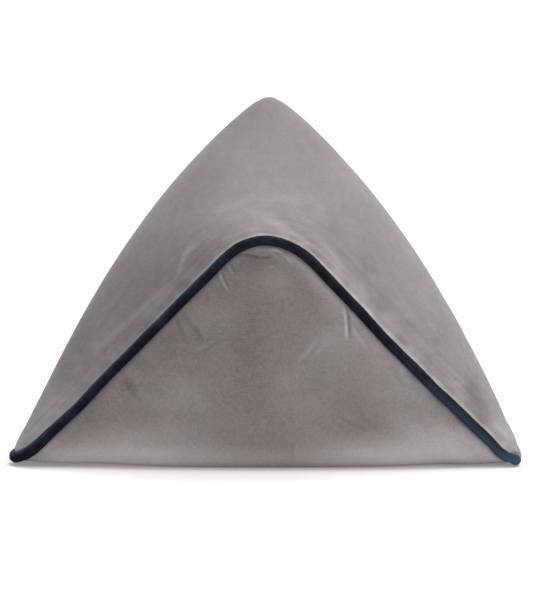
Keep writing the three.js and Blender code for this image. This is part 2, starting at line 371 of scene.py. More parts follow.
def nearest_on(line, points):
    """Distance of each point from a line, and which of the line's points is nearest."""
    tree = KDTree(len(line))
    for i, point in enumerate(line):
        tree.insert(point, i)
    tree.balance()
    found = [tree.find(point)[1:] for point in points]
    index, distance = (np.array(column) for column in zip(*found))
    return distance, index


# Meshes


def new_object(name, points, faces=(), edges=()):
    mesh = bpy.data.meshes.new(name)
    mesh.from_pydata(np.asarray(points).tolist(), edges, faces)
    mesh.shade_smooth()
    made = bpy.data.objects.new(name, mesh)
    bpy.context.scene.collection.objects.link(made)
    return made


def rows_of(items, field, width=3, kind=np.float32):
    """One field of all the vertices or edges of a mesh, a row for each."""
    flat = np.zeros(len(items) * width, kind)
    items.foreach_get(field, flat)
    return flat.reshape(-1, width)


def coordinates(mesh):
    return rows_of(mesh.vertices, "co").astype(float)


def set_coordinates(mesh, points):
    mesh.vertices.foreach_set("co", points.astype(np.float32).ravel())
    mesh.update()


def store(mesh, name, values):
    """Keeps a number, or three, for each vertex, for the material to read."""
    kind, field = ("FLOAT", "value") if values.ndim == 1 else ("FLOAT_VECTOR", "vector")
    layer = mesh.attributes.new(name, kind, "POINT")
    layer.data.foreach_set(field, values.astype(np.float32).ravel())


def settled(made):
    """Puts the evaluated result of an object's modifiers into its own mesh and removes them."""
    bpy.context.view_layer.update()
    graph = bpy.context.evaluated_depsgraph_get()
    mesh = bpy.data.meshes.new_from_object(made.evaluated_get(graph), depsgraph=graph)
    made.modifiers.clear()
    made.data = mesh
    return made


def averaged(values, edges, rounds):
    """Values of the vertices after so many rounds of going halfway to their neighbours."""
    a, b = edges.T
    count = np.bincount(edges.ravel(), minlength=len(values)).astype(float)[:, None]
    for _ in range(rounds):
        total = np.zeros_like(values)
        for axis in range(values.shape[1]):
            total[:, axis] += np.bincount(a, values[b, axis], len(values))
            total[:, axis] += np.bincount(b, values[a, axis], len(values))
        values = (values + total / np.maximum(count, 1)) / 2
    return values


# The cushion's cover

CUSHION_COLUMNS = 320
CUSHION_ROWS = 180
CUSHION_ROW_CROWDING = 2.0
UNDERSIDE_ROWS = 12
CLOTH_GRID = 0.0050

# Points below the first height are the flat that the pillow stands on; all others stay over the second
FLAT_BELOW = 0.0012
FLOOR_CLEARANCE = 0.0004


def cushion_form():
    """The closed filled form, before any cloth is worked on it."""
    angle = 2 * np.pi * np.arange(CUSHION_COLUMNS) / CUSHION_COLUMNS
    rings = [underside_points(angle, 1 - r / UNDERSIDE_ROWS) for r in range(UNDERSIDE_ROWS)]
    for r in range(CUSHION_ROWS):
        share = 1 - (1 - r / CUSHION_ROWS) ** CUSHION_ROW_CROWDING
        rings.append(body_points(angle, mix(seam_height(angle), TOP_HEIGHT, share)))
    points = np.concatenate(rings)
    points[:, 1] = np.maximum(points[:, 1], panel_depth(points[:, 0], np.maximum(points[:, 2], 0)))
    low, high = len(points), len(points) + 1
    points = np.concatenate([points, [[0, TOP_DEPTH, 0], [0, TOP_DEPTH, TOP_HEIGHT]]])
    faces = []
    for i in range(CUSHION_COLUMNS):
        j = (i + 1) % CUSHION_COLUMNS
        faces.append((low, j, i))
        for r in range(len(rings) - 1):
            a, b = r * CUSHION_COLUMNS + i, r * CUSHION_COLUMNS + j
            faces.append((a, b, b + CUSHION_COLUMNS, a + CUSHION_COLUMNS))
        last = (len(rings) - 1) * CUSHION_COLUMNS
        faces.append((last + i, last + j, high))
    form = new_object("cushion_form", points, faces)
    cover = new_object("cushion_cover", points, faces)
    remesh = cover.modifiers.new("even cloth", "REMESH")
    remesh.mode = "VOXEL"
    remesh.voxel_size = CLOTH_GRID
    remesh.use_smooth_shade = True
    onto_form = cover.modifiers.new("onto the form", "SHRINKWRAP")
    onto_form.target = form
    settled(cover)
    bpy.data.objects.remove(form)
    return cover


SIM_FRAMES = 20
SIM_PRESSURE = 4
SEAM_HOLD = 0.006
SEAM_SLACK_REACH = 0.030
SEAM_SLACK = -0.07
CLOTH_SLACK = -0.012
RIPPLE_CAP = 0.006
RIPPLE_ROUNDS = 34
RIPPLE_NEAR = 0.042
RIPPLE_FAR_SHARE = 0.10
RIPPLE_LEFT_SHARE = 0.40
RIPPLE_SIDES = (-0.05, 0.03)
SWELL_KEPT = 0.06


def vertex_group(made, name, weights):
    group = made.vertex_groups.new(name=name)
    for i in np.nonzero(weights > 0.001)[0]:
        group.add([int(i)], float(weights[i]), "REPLACE")
    return group.name


def over_floor(moved, points):
    """Keeps moved points over the floor, and the flat that the pillow stands on where it was."""
    height = np.maximum(moved[:, 2], FLOOR_CLEARANCE)
    moved[:, 2] = np.where(points[:, 2] < FLAT_BELOW, points[:, 2], height)
    return moved


def inflate(cushion):
    """Fills the cover: cloth a little longer than its seams, blown up against them, folds softly."""
    rest = coordinates(cushion.data)
    distance, _ = nearest_on(EVEN_WELT_LINE, rest)
    held = ((distance < SEAM_HOLD) | (rest[:, 2] < FLAT_BELOW)) * 1.0
    slack = 1 - smooth(SEAM_HOLD, SEAM_SLACK_REACH, distance)
    cloth = cushion.modifiers.new("filling", "CLOTH")
    setup = cloth.settings
    setup.quality = 5
    setup.mass = 0.25
    setup.tension_stiffness = 30
    setup.compression_stiffness = 30
    setup.shear_stiffness = 10
    setup.bending_stiffness = 0.4
    setup.use_pressure = True
    setup.uniform_pressure_force = SIM_PRESSURE
    setup.effector_weights.gravity = 0
    setup.vertex_group_mass = vertex_group(cushion, "held", held)
    setup.vertex_group_shrink = vertex_group(cushion, "slack", slack)
    setup.shrink_min = CLOTH_SLACK
    setup.shrink_max = SEAM_SLACK
    cloth.point_cache.frame_start = 1
    cloth.point_cache.frame_end = SIM_FRAMES
    for step in range(1, SIM_FRAMES + 1):
        bpy.context.scene.frame_set(step)
    settled(cushion)
    cushion.vertex_groups.clear()
    moved = coordinates(cushion.data) - rest
    swell = averaged(moved, rows_of(cushion.data.edges, "vertices", 2, np.int32), RIPPLE_ROUNDS)
    ripple = moved - swell
    length = np.linalg.norm(ripple, axis=1, keepdims=True)
    ripple *= np.minimum(1, RIPPLE_CAP / np.maximum(length, 1e-9))
    kept = mix(RIPPLE_FAR_SHARE, 1, hump(distance, RIPPLE_NEAR))
    kept = (kept * mix(RIPPLE_LEFT_SHARE, 1, smooth(*RIPPLE_SIDES, rest[:, 0])))[:, None]
    points = rest + ripple * kept + swell * SWELL_KEPT
    set_coordinates(cushion.data, over_floor(points, rest))
    bpy.context.scene.frame_set(1)


FINE_REACH = 0.045
FINE_DEPTH = 0.100
FINE_PANEL_DEPTH = 0.030


def refine(cushion):
    """Halves the cloth's faces on the front panel and round the welt, where the small creases are."""
    mesh = cushion.data
    points = coordinates(mesh)
    distance, _ = nearest_on(EVEN_WELT_LINE, points)
    panel = (points[:, 2] < arch_height(points[:, 0])) & (points[:, 1] < FINE_PANEL_DEPTH)
    beside_welt = (distance < FINE_REACH) & (points[:, 1] < FINE_DEPTH)
    fine = (panel | beside_welt) & (points[:, 2] > FLAT_BELOW)
    form = bmesh.new()
    form.from_mesh(mesh)
    form.verts.ensure_lookup_table()
    edges = [edge for edge in form.edges if fine[edge.verts[0].index] and fine[edge.verts[1].index]]
    bmesh.ops.subdivide_edges(form, edges=edges, cuts=1, use_grid_fill=True, smooth=0.0)
    form.to_mesh(mesh)
    form.free()


# Work on the finished cover, all of it in the front fold's coordinates

TUCK_DEPTH = 0.0004
TUCK_START = 0.0045
TUCK_END = 0.0080

CORNER_PULL_LEFT = -0.0024
CORNER_PULL_RIGHT = 0.0002
CORNER_PULL_REACH = (0.190, 0.250)
CORNER_PULL_HEIGHTS = (0.012, 0.042)
CORNER_PULL_DEPTH = 0.10

TOP_LEAN = 0.0008
TOP_LEAN_FROM = 0.27

PUCKER_PITCH = 0.023
PUCKER_DEPTH = 0.0006
PUCKER_WIDTH = 0.0050
PUCKER_WIDENING = 0.03
PUCKER_LENGTH = 0.024
PUCKER_SKEW = 0.5
PUCKER_SEED = 41
# Least and most of each, as shares
PUCKER_GAPS = (0.55, 1.5)
PUCKER_WIDE = (0.7, 1.4)
PUCKER_DEEP = (0.2, 1.5)
PUCKER_LONG = (0.6, 1.5)

CLOSING_SEAM_DEPTH = 0.0030
CLOSING_SEAM_WIDTH = 0.0040
CLOSING_PUCKER_DEPTH = 0.0005
CLOSING_PUCKER_PITCH = 0.023
CLOSING_PUCKER_REACH = 0.022
CLOSING_PUCKER_FROM = 0.010
CLOSING_PUCKER_SLANT = 0.5
CLOSING_PUCKER_STAGGER = 0.006
CLOSING_SEAM_START = 0.012
CLOSING_SEAM_END = 0.02
BEHIND_TOP = (TOP_DEPTH - 0.004, TOP_DEPTH + 0.006)

# Paths in millimetres across from the middle and up from the floor edge, as the camera sees them, the
# width and depth of each valley in millimetres, and how much painted light and shade its two sides get
Crease = namedtuple("Crease", "path width depth light dark")
CREASES = [
    # Below the left leg
    Crease([(-37, 178), (-42, 187), (-45, 195)], 1.6, 0.8, 0.38, 0.18),
    Crease([(-31, 193), (-35, 199), (-38, 205)], 1.5, 0.6, 0.30, 0.16),
    Crease([(-62, 178), (-58, 170), (-60, 160)], 2.2, 0.5, 0.08, 0.14),
    Crease([(-84, 156), (-78, 145), (-68, 135), (-63, 122)], 3.0, 0.6, 0.12, 0.17),
    Crease([(-90, 150), (-86, 138), (-77, 124)], 2.8, 0.4, 0.10, 0.10),
    Crease([(-68, 113), (-56, 121), (-46, 126)], 1.8, 0.5, 0.10, 0.12),
    Crease([(-140, 84), (-134, 76), (-128, 66)], 3.0, 0.7, 0.06, 0.20),
    # Below the right leg
    Crease([(82, 131), (82, 142), (81, 153), (79, 165)], 1.8, 1.2, 0.80, 0.36),
    Crease([(100, 128), (94, 135), (87, 147)], 2.2, 0.4, 0.22, 0.04),
    Crease([(33, 104), (42, 112), (54, 128)], 2.6, -0.4, 0.20, 0.06),
    Crease([(51, 110), (60, 121), (66, 136)], 3.0, -0.3, 0.10, 0.03),
    Crease([(128, 110), (132, 96), (140, 84)], 3.4, 0.7, 0.08, 0.12),
    Crease([(70, 52), (84, 44), (100, 36)], 2.4, 0.6, 0.18, 0.12),
    # Right under the arch
    Crease([(-25, 214), (-16, 213), (-8, 212)], 1.6, 0.9, 0.10, 0.32),
    Crease([(-13, 211), (-4, 211), (5, 212)], 1.4, 0.6, 0.06, 0.26),
    Crease([(3, 217), (10, 217), (17, 215)], 1.3, 0.5, 0.32, 0.12),
    Crease([(14, 214), (19, 211), (24, 206)], 1.3, 0.4, 0.26, 0.12),
    Crease([(1, 199), (9, 200)], 1.4, 0.3, 0.24, 0.06),
    # The fold beside the arch, and the long soft one that follows it down the left leg
    Crease([(-68, 222), (-78, 213), (-84, 201), (-88, 188), (-94, 178)], 3.0, -0.8, 0.05, -0.22),
    Crease([(-92, 182), (-112, 162), (-136, 141), (-162, 118)], 5.5, -0.9, 0.00, -0.16),
    # The short fold at the middle of the floor edge
    Crease([(26, 24), (26, 14), (25, 4)], 1.3, 0.7, 0.10, 0.16),
]
PATH_STEPS = 8
CREASE_DEPTHS = (0.090, 0.120)
CREASE_FADES_IN = (-0.15, 0.30)
CREASE_FADES_OUT = (0.70, 1.15)
MILLIMETRE = 0.001

# How far from the middle of a crease or gather its raised banks lie, in widths, and how high they are
BANK = 1.9
CREASE_LEFT_BANK = 0.5
CREASE_RIGHT_BANK = 0.3
PUCKER_BANK = 0.4


def push(points, mesh, depths):
    """Moves each vertex in, along its normal, by its depth, but keeps the flat that it stands on."""
    normals = rows_of(mesh.vertex_normals, "vector").astype(float)
    return over_floor(points - normals * depths[:, None], points)


def eased_path(corners):
    """A smooth open path through its corners."""
    corners = np.array(corners, float) / 1000
    ends = [2 * corners[0] - corners[1]], [2 * corners[-1] - corners[-2]]
    p = np.concatenate([ends[0], corners, ends[1]])
    t = (np.arange(PATH_STEPS) / PATH_STEPS)[:, None]
    out = []
    for i in range(1, len(p) - 2):
        square = 2 * p[i - 1] - 5 * p[i] + 4 * p[i + 1] - p[i + 2]
        cubic = -p[i - 1] + 3 * p[i] - 3 * p[i + 1] + p[i + 2]
        out.append(p[i] + ((p[i + 1] - p[i - 1]) * t + square * t * t + cubic * t**3) / 2)
    return np.concatenate(out + [corners[-1:]])


def beside(path, seen):
    """Where points lie along a path, from 0 to 1, and how far to its left."""
    starts, steps = path[:-1], np.diff(path, axis=0)
    lengths = np.linalg.norm(steps, axis=1)
    before = np.concatenate([[0], np.cumsum(lengths)[:-1]])
    from_start = seen[:, None] - starts
    share = (from_start * steps).sum(-1) / lengths**2
    held = np.clip(share, 0, 1)
    gap = from_start - held[..., None] * steps
    nearest = (gap**2).sum(-1).argmin(1)
    rows = np.arange(len(seen))
    along = (before[nearest] + share[rows, nearest] * lengths[nearest]) / lengths.sum()
    step, offset = steps[nearest], from_start[rows, nearest]
    side = step[:, 0] * offset[:, 1] - step[:, 1] * offset[:, 0]
    return along, np.sign(side) * np.linalg.norm(gap[rows, nearest], axis=1)


def creased(points):
    """The front's creases: the depth of each valley, and the tones of its lit and shaded side."""
    depths, tones = np.zeros(len(points)), np.zeros(len(points))
    seen = np.stack(front_view(points), -1)
    front = 1 - smooth(*CREASE_DEPTHS, points[:, 1])
    for row in CREASES:
        path, width = eased_path(row.path), MILLIMETRE * row.width
        low, high = path.min(0) - 6 * width, path.max(0) + 6 * width
        near = np.nonzero(((seen > low) & (seen < high)).all(1) & (front > 0))[0]
        along, left = beside(path, seen[near])
        fade = smooth(*CREASE_FADES_IN, along) * (1 - smooth(*CREASE_FADES_OUT, along)) * front[near]
        valley = hump(left, width) - CREASE_LEFT_BANK * hump(left - BANK * width, width)
        valley -= CREASE_RIGHT_BANK * hump(left + BANK * width, width)
        depths[near] += MILLIMETRE * row.depth * valley * fade
        lit, shaded = hump(left - 1.2 * width, 0.9 * width), hump(left + 0.3 * width, 0.9 * width)
        tones[near] += (row.light * lit - row.dark * shaded) * fade
    return depths, tones


def pucker_depths(distance, along, on_base):
    """Depth of the small gathers that cross the welt's seam, their sizes and gaps uneven."""
    total = np.zeros(len(distance))
    draw = random.Random(PUCKER_SEED)
    for side in (True, False):
        place = 0.0
        while place < WELT_LENGTH:
            place += PUCKER_PITCH * draw.uniform(*PUCKER_GAPS)
            width = PUCKER_WIDTH * draw.uniform(*PUCKER_WIDE)
            depth = PUCKER_DEPTH * draw.uniform(*PUCKER_DEEP)
            reach = PUCKER_LENGTH * draw.uniform(*PUCKER_LONG)
            skew = draw.uniform(-PUCKER_SKEW, PUCKER_SKEW)
            gap = np.abs(along - place - skew * distance)
            near = (np.minimum(gap, WELT_LENGTH - gap) < 4 * width) & (on_base == side)
            fade = 1 - smooth(0.2 * reach, reach, distance[near])
            spread = width * (1 + distance[near] / PUCKER_WIDENING)
            valley = hump(gap[near], spread) - PUCKER_BANK * hump(gap[near] - BANK * spread, spread)
            total[near] += depth * valley * fade
    return total


def closing_seam_depths(points):
    """Depth of the closing seam's valley down the back ridge, with its gathers."""
    x, y, z = points.T
    behind = smooth(*BEHIND_TOP, y)
    height = smooth(BACK_CORNER_LIFT, BACK_CORNER_LIFT + CLOSING_SEAM_END, z)
    started = smooth(0, CLOSING_SEAM_START, TOP_HEIGHT - z)
    reach = np.abs(x)
    slant = z - CLOSING_PUCKER_SLANT * reach - CLOSING_PUCKER_STAGGER * (x > 0)
    phase = 2 * np.pi * slant / CLOSING_PUCKER_PITCH
    phase = phase + 2.6 * np.sin(slant * 41) + 1.2 * np.sin(slant * 97)
    waves = np.sin(phase) * (0.55 + 0.45 * np.sin(slant * 73 + 1.0))
    waves = waves * hump(reach - CLOSING_PUCKER_FROM, CLOSING_PUCKER_REACH / 2) * (1 - hump(reach, 0.003))
    valley = CLOSING_SEAM_DEPTH * hump(x, CLOSING_SEAM_WIDTH)
    return (valley + CLOSING_PUCKER_DEPTH * waves) * behind * height * started


BASE_PANEL_REACH = 0.006


def on_base_panel(points):
    """Which points belong to the base panel: its turned up front corner and the underside."""
    x, y, z = points.T
    front = (z < arch_height(x)) & (y < panel_depth(x, z) + BASE_PANEL_REACH)
    behind = y > flank_depth(z)
    angle = np.arctan2(x / half_width(z), np.where(behind, -0.5, 0.5))
    return front | (behind & (z < seam_height(angle)))


# Soft patches, most of them painted light and shade, as the camera sees them: middle and half width each way
# in millimetres, turn in degrees, and how much lighter they are
Tone = namedtuple("Tone", "x up wide high turn lift")
PANEL_TONES = [
    # Painted light from the floor: lighter outside a bowl in the middle of the front panel, most along the
    # floor edge
    Tone(-135, 7, 112, 18, 0, 1.10),
    Tone(-180, 2, 50, 4.5, 0, 0.36),
    Tone(-212, 16, 24, 6, 24, -0.16),
    Tone(-120, 34, 56, 14, 6, 0.26),
    Tone(-192, 38, 52, 14, 45, -0.09),
    Tone(22, 6, 100, 16, 0, 0.20),
    Tone(150, 8, 105, 22, 0, 1.16),
    Tone(168, 36, 44, 16, -10, 0.40),
    Tone(110, 40, 26, 10, -10, -0.12),
    Tone(-2, 21, 50, 7, 0, -0.12),
    Tone(10, 40, 60, 12, 0, 0.06),
    Tone(-66, 44, 40, 9, -16, -0.06),
    Tone(80, 36, 30, 8, 14, -0.06),
    # Painted shade in the hollow under the arch, with a painted lighter patch
    Tone(-10, 206, 30, 10, 0, -0.08),
    Tone(-6, 219, 24, 3.5, 0, 0.36),
    Tone(-31, 208.5, 8, 5, -40, 0.16),
    Tone(12, 188, 18, 16, 30, 0.24),
    Tone(24, 213, 22, 8, -20, 0.34),
    Tone(44, 200, 18, 10, -45, 0.36),
    Tone(60, 180, 22, 10, -46, 0.32),
    # Painted light all down the right leg
    Tone(88, 158, 60, 18, -46, 0.38),
    Tone(140, 104, 60, 20, -45, 0.28),
    Tone(112, 86, 60, 34, -36, 0.18),
    Tone(58, 104, 34, 56, -10, 0.15),
    Tone(30, 60, 30, 14, 0, 0.12),
    # Smaller lighter and darker patches
    Tone(-76, 76, 30, 16, -30, 0.20),
    Tone(-108, 66, 36, 16, -10, 0.14),
    Tone(-60, 152, 20, 14, -30, 0.16),
    Tone(-104, 94, 60, 24, 44, -0.08),
    Tone(-50, 62, 12, 16, 50, -0.08),
    Tone(20, 84, 22, 20, -30, 0.14),
    Tone(-16, 130, 16, 50, 0, -0.10),
    Tone(-60, 140, 20, 30, 45, -0.06),
    Tone(34, 136, 16, 14, 20, -0.04),
    Tone(66, 128, 20, 20, 40, 0.08),
    Tone(72, 82, 36, 22, -38, -0.10),
    Tone(48, 88, 10, 30, -48, -0.06),
    Tone(-137, 82, 12, 8, -40, -0.12),
]
# Painted light and shade on the body: lighter at the top and over the arch, darker down the left flank
BODY_TONES = [
    Tone(0, 330, 40, 50, 0, 0.08),
    Tone(-14, 300, 30, 30, 0, 0.06),
    Tone(5, 252, 70, 26, 0, 0.18),
    Tone(40, 262, 36, 8, -14, 0.10),
    Tone(40, 260, 7, 8, 60, -0.14),
    Tone(66, 242, 10, 14, 20, -0.12),
    Tone(104, 222, 14, 30, 20, -0.04),
    Tone(76, 256, 34, 16, -16, -0.09),
    Tone(-110, 250, 50, 12, 52, -0.05),
    Tone(-134, 166, 100, 36, 50, -0.27),
    Tone(-176, 150, 80, 12, 58, -0.08),
    Tone(-98, 178, 50, 10, 46, -0.10),
    Tone(-200, 100, 60, 24, 60, -0.16),
    Tone(-158, 146, 40, 10, 48, 0.06),
    Tone(-214, 52, 16, 14, 60, 0.20),
    Tone(-70, 205, 10, 14, 40, -0.10),
    Tone(-88, 180, 8, 10, 40, -0.13),
    Tone(-60, 216, 10, 10, 40, -0.10),
    Tone(126, 196, 50, 24, -50, -0.02),
    Tone(168, 140, 50, 20, -52, -0.02),
    Tone(204, 80, 8, 16, 10, -0.26),
    Tone(214, 60, 10, 14, 10, -0.20),
    Tone(241, 32, 9, 22, 24, 0.46),
    Tone(242, 24, 5, 4, 0, -0.14),
    Tone(-228, 46, 10, 10, 40, -0.10),
    # Painted highlights on small swellings down the right leg, from the arch to the corner
    Tone(68, 204, 26, 8, -46, 0.36),
    Tone(66, 195.5, 24, 5, -46, 0.46),
    Tone(100, 160, 13, 6, -46, 0.30),
    Tone(92, 176, 13, 10, -44, 0.24),
    Tone(120, 146, 12, 11, -46, 0.32),
    Tone(141, 120, 12, 8, -46, 0.44),
    Tone(150, 110, 12, 5, -46, 0.16),
    Tone(164, 96, 10, 6, -46, 0.22),
    Tone(180, 77, 10, 5, -46, 0.24),
    Tone(193, 69, 14, 7, -45, 0.10),
    # Painted shade in the gap where the cloth's edge lies over the right end of the welt
    Tone(249, 14.2, 7, 1.4, -20, -0.80),
]


def tone_at(points, table):
    total = np.zeros(len(points))
    seen_x, seen_up = (seen / MILLIMETRE for seen in front_view(points))
    for row in table:
        turn = math.radians(row.turn)
        dx, up = seen_x - row.x, seen_up - row.up
        along = (dx * math.cos(turn) + up * math.sin(turn)) / row.wide
        across = (up * math.cos(turn) - dx * math.sin(turn)) / row.high
        total += row.lift * hump(np.hypot(along, across), 1)
    return total


# Painted highlight beside the welt on the body
FRINGE_LIFT = 0.60
FRINGE_LEFT = 0.25
FRINGE_MOST = 0.85
FRINGE_WIDTH = 0.0021
FRINGE_LENGTH = 0.034
FRINGE_RIGHT_LEG = (0.035, 0.075)
FRINGE_GROWS = (-0.110, -0.060)
FRINGE_ENDS = (0.235, 0.250)
FRONT_WELT_DEPTH = 0.034


def fringe_highlights(gap, along, x):
    """Painted highlight along the edge where the body's cloth rolls in to the welt, weak on the left leg,
    uneven on the right.
    """
    right = smooth(*FRINGE_RIGHT_LEG, x)
    strength = mix(FRINGE_LEFT, FRINGE_MOST, smooth(*FRINGE_GROWS, x)) * (1 - smooth(*FRINGE_ENDS, x))
    uneven = 0.5 + 0.5 * np.sin(2 * np.pi * along / FRINGE_LENGTH + 1.3 * np.sin(along * 71))
    width = FRINGE_WIDTH * (1 + 0.3 * right * uneven)
    edge = 1 - smooth(0.3 * width, 1.6 * width, gap)
    return FRINGE_LIFT * edge * strength * (1 + 0.35 * right * uneven)


def seen_gap(points):
    """How far beside the front's welt the camera sees each point."""
    front = EVEN_WELT_LINE[EVEN_WELT_LINE[:, 1] < FRONT_WELT_DEPTH]
    flat = [np.stack([*front_view(each), np.zeros(len(each))], -1) for each in (front, points)]
    return nearest_on(*flat)[0] - WELT_RADIUS


# Length of the body panel's cloth for each metre of height
BODY_SLOPE = 1.25


def cloth_coordinates(points, on_base):
    """Where each point lies on its flat piece of cloth, so that the weave runs straight along it."""
    x, y, z = points.T
    z = np.clip(z, 0, TOP_HEIGHT - 0.001)
    wide, deep = half_width(z), flank_depth(z)
    stretch = np.hypot(1, nose_reach(z) / np.maximum(wide, 0.01))
    past = np.hypot(wide - np.abs(x), y - deep)
    body_across = np.where(y < deep, x * stretch, np.sign(x) * (wide * stretch + past))
    base_down = np.where(z > FLAT_BELOW, z, -y)
    across = np.where(on_base, x, body_across)
    down = np.where(on_base, base_down, z * BODY_SLOPE)
    return np.stack([across, down, on_base * 1.0], -1)


NAP_DISTANCES = (0.030, 0.120)
TONE_FADE_BEFORE_FLANK = 0.020
TONE_FADE_BEHIND_FLANK = 0.012
# Painted light on the panel beside the welt, lifting the shade the welt casts there
BESIDE_WELT_LIFT = 0.12
BESIDE_WELT_PLACE = 0.007
BESIDE_WELT_WIDTH = 0.0050
SWIRL_FROM_WELT = 0.025
SWIRL_WIDTH = 0.035


def dress(cushion):
    """Seams, gathers and creases on the finished cover, and what its material needs to know, the painted
    light and shade with it.
    """
    mesh = cushion.data
    points = coordinates(mesh)
    distance, index = nearest_on(EVEN_WELT_LINE, points)
    on_base = on_base_panel(points)
    along = WELT_LENGTHS[index]
    depths, creases = creased(points)
    depths += TUCK_DEPTH * (1 - smooth(TUCK_START, TUCK_END, distance))
    depths += pucker_depths(distance, along, on_base) + closing_seam_depths(points)
    # Painted light and shade for the base colour: the soft patches, the fringe's highlight, the lift beside
    # the welt and the crease sides, faded out behind the flanks.
    body_tone = tone_at(points, BODY_TONES) + fringe_highlights(seen_gap(points), along, points[:, 0])
    flank = flank_depth(points[:, 2])
    in_front = 1 - smooth(flank - TONE_FADE_BEFORE_FLANK, flank + TONE_FADE_BEHIND_FLANK, points[:, 1])
    beside_welt = BESIDE_WELT_LIFT * hump(distance - BESIDE_WELT_PLACE, BESIDE_WELT_WIDTH)
    panel_tone = tone_at(points, PANEL_TONES) + beside_welt
    tone = (np.where(on_base, panel_tone, body_tone) + creases) * in_front
    nap_line = mix(ARCH_TOP + distance, points[:, 2], smooth(*NAP_DISTANCES, distance))
    store(mesh, "cloth", cloth_coordinates(points, on_base))
    store(mesh, "nap_line", np.where(on_base, points[:, 2], nap_line))
    store(mesh, "nap_swirl", hump(distance - SWIRL_FROM_WELT, SWIRL_WIDTH) * ~on_base)
    store(mesh, "nap_tone", tone)
    finished = wandered(push(points, mesh, depths), distance)
    pulled = smooth(*CORNER_PULL_REACH, np.abs(points[:, 0])) * (points[:, 1] < CORNER_PULL_DEPTH)
    pulled = pulled * (1 - smooth(*CORNER_PULL_HEIGHTS, points[:, 2]))
    finished[:, 0] += np.where(points[:, 0] < 0, CORNER_PULL_LEFT, CORNER_PULL_RIGHT) * pulled
    finished[:, 0] += TOP_LEAN * smooth(TOP_LEAN_FROM, TOP_HEIGHT, points[:, 2])
    set_coordinates(mesh, finished + TO_FRAME)


def cushion_cover():
    cushion = cushion_form()
    inflate(cushion)
    finer = cushion.modifiers.new("finer cloth", "SUBSURF")
    finer.levels = finer.render_levels = 1
    settled(cushion)
    refine(cushion)
    dress(cushion)
    cushion.data.shade_smooth()
    return cushion


# The closing seam's stitches, in the valley down the back

STITCH_PITCH = 0.0046
STITCH_LENGTH = 0.0032
STITCH_THICKNESS = 0.0007
STITCH_SLANT = 0.5
STITCH_SEED = 7
STITCHES_LOW = 0.030
STITCHES_HIGH = 0.345
STITCH_LINE_POINTS = 120
STITCH_PROUD = 0.2


def stitch_tree(material):
    """Lays one slanted stitch after another along the edges it is given."""
    tree = bpy.data.node_groups.new("closing_stitches", "GeometryNodeTree")
    tree.is_modifier = True
    tree.interface.new_socket("Seam", in_out="INPUT", socket_type="NodeSocketGeometry")
    for name in ("Pitch", "Length", "Thickness", "Slant"):
        tree.interface.new_socket(name, in_out="INPUT", socket_type="NodeSocketFloat")
    tree.interface.new_socket("Seed", in_out="INPUT", socket_type="NodeSocketInt")
    tree.interface.new_socket("Stitches", in_out="OUTPUT", socket_type="NodeSocketGeometry")
    recipe = Recipe(tree)
    given = tree.nodes.new("NodeGroupInput")
    seam, pitch, length, thickness, slant, seed = (Shade(recipe, socket) for socket in given.outputs[:6])
    curve = recipe.node("GeometryNodeMeshToCurve", {}, {"Mesh": seam})
    evenly = recipe.node("GeometryNodeResampleCurve", {"mode": "LENGTH"}, {"Curve": curve, "Length": pitch})
    ball = recipe.node("GeometryNodeMeshUVSphere", {}, {"Segments": 8, "Rings": 5, "Radius": 0.5})
    size = recipe.joined(length, thickness, thickness)
    stitch = recipe.node("GeometryNodeTransform", {}, {"Geometry": ball, "Scale": size})
    tangent = recipe.node("GeometryNodeInputTangent", {}, {})
    spread = {"Min": 0.7, "Max": 1.3, "Seed": seed}
    uneven = recipe.node("FunctionNodeRandomValue", {"data_type": "FLOAT"}, spread, 1)
    sideways = recipe.joined(slant * uneven, 0.0, 0.0)
    toward = recipe.node("ShaderNodeVectorMath", {"operation": "ADD"}, {0: tangent, 1: sideways})
    turned = recipe.node("FunctionNodeAlignRotationToVector", {"axis": "X"}, {"Vector": toward})
    placing = {"Points": evenly, "Instance": stitch, "Rotation": turned}
    laid = recipe.node("GeometryNodeInstanceOnPoints", {}, placing)
    real = recipe.node("GeometryNodeRealizeInstances", {}, {"Geometry": laid})
    smoothed = recipe.node("GeometryNodeSetShadeSmooth", {}, {"Geometry": real})
    finished = recipe.node("GeometryNodeSetMaterial", {}, {"Geometry": smoothed, "Material": material})
    result = tree.nodes.new("NodeGroupOutput")
    tree.links.new(finished.socket, result.inputs[0])
    return tree


def closing_stitches(cushion, material):
    """Thread of the closing seam, on the cloth where a ray from behind meets it."""
    across = TO_FRAME[0] + TOP_LEAN / 2
    points = []
    for z in np.linspace(STITCHES_LOW, STITCHES_HIGH, STITCH_LINE_POINTS):
        met, place, normal, _ = cushion.ray_cast((across, 1.0, z), (0, -1, 0))
        if met:
            points.append(place + normal * STITCH_THICKNESS * STITCH_PROUD)
    edges = [(i, i + 1) for i in range(len(points) - 1)]
    stitches = new_object("closing_stitches", points, edges=edges)
    tree = stitch_tree(material)
    modifier = stitches.modifiers.new("stitches", "NODES")
    modifier.node_group = tree
    sizes = {"Pitch": STITCH_PITCH, "Length": STITCH_LENGTH, "Thickness": STITCH_THICKNESS}
    sizes.update({"Slant": STITCH_SLANT, "Seed": STITCH_SEED})
    for item in tree.interface.items_tree:
        if item.name in sizes:
            modifier[item.identifier] = sizes[item.name]
    return settled(stitches)


# The welt

WELT_SIDES = 20
WELT_UNEVENNESS = 0.025
WELT_GATHERED = 0.16
BIAS_FOLD_DEPTH = 0.00022
BIAS_FOLD_PITCH = 0.0105
BIAS_FOLD_SKEW = 0.9
WELT_LIT_RIGHT = 0.52
WELT_LIT_LEFT = 0.22
WELT_LIT_LEAST = 0.02
WELT_LIT_ARCH = 0.05
WELT_LIT_END = 0.30
WELT_FLOOR_CLEARANCE = 0.0003
WELT_INSIDE_HEIGHT = 0.10
BEND_STEPS = 12
SHARP_BEND = 0.35

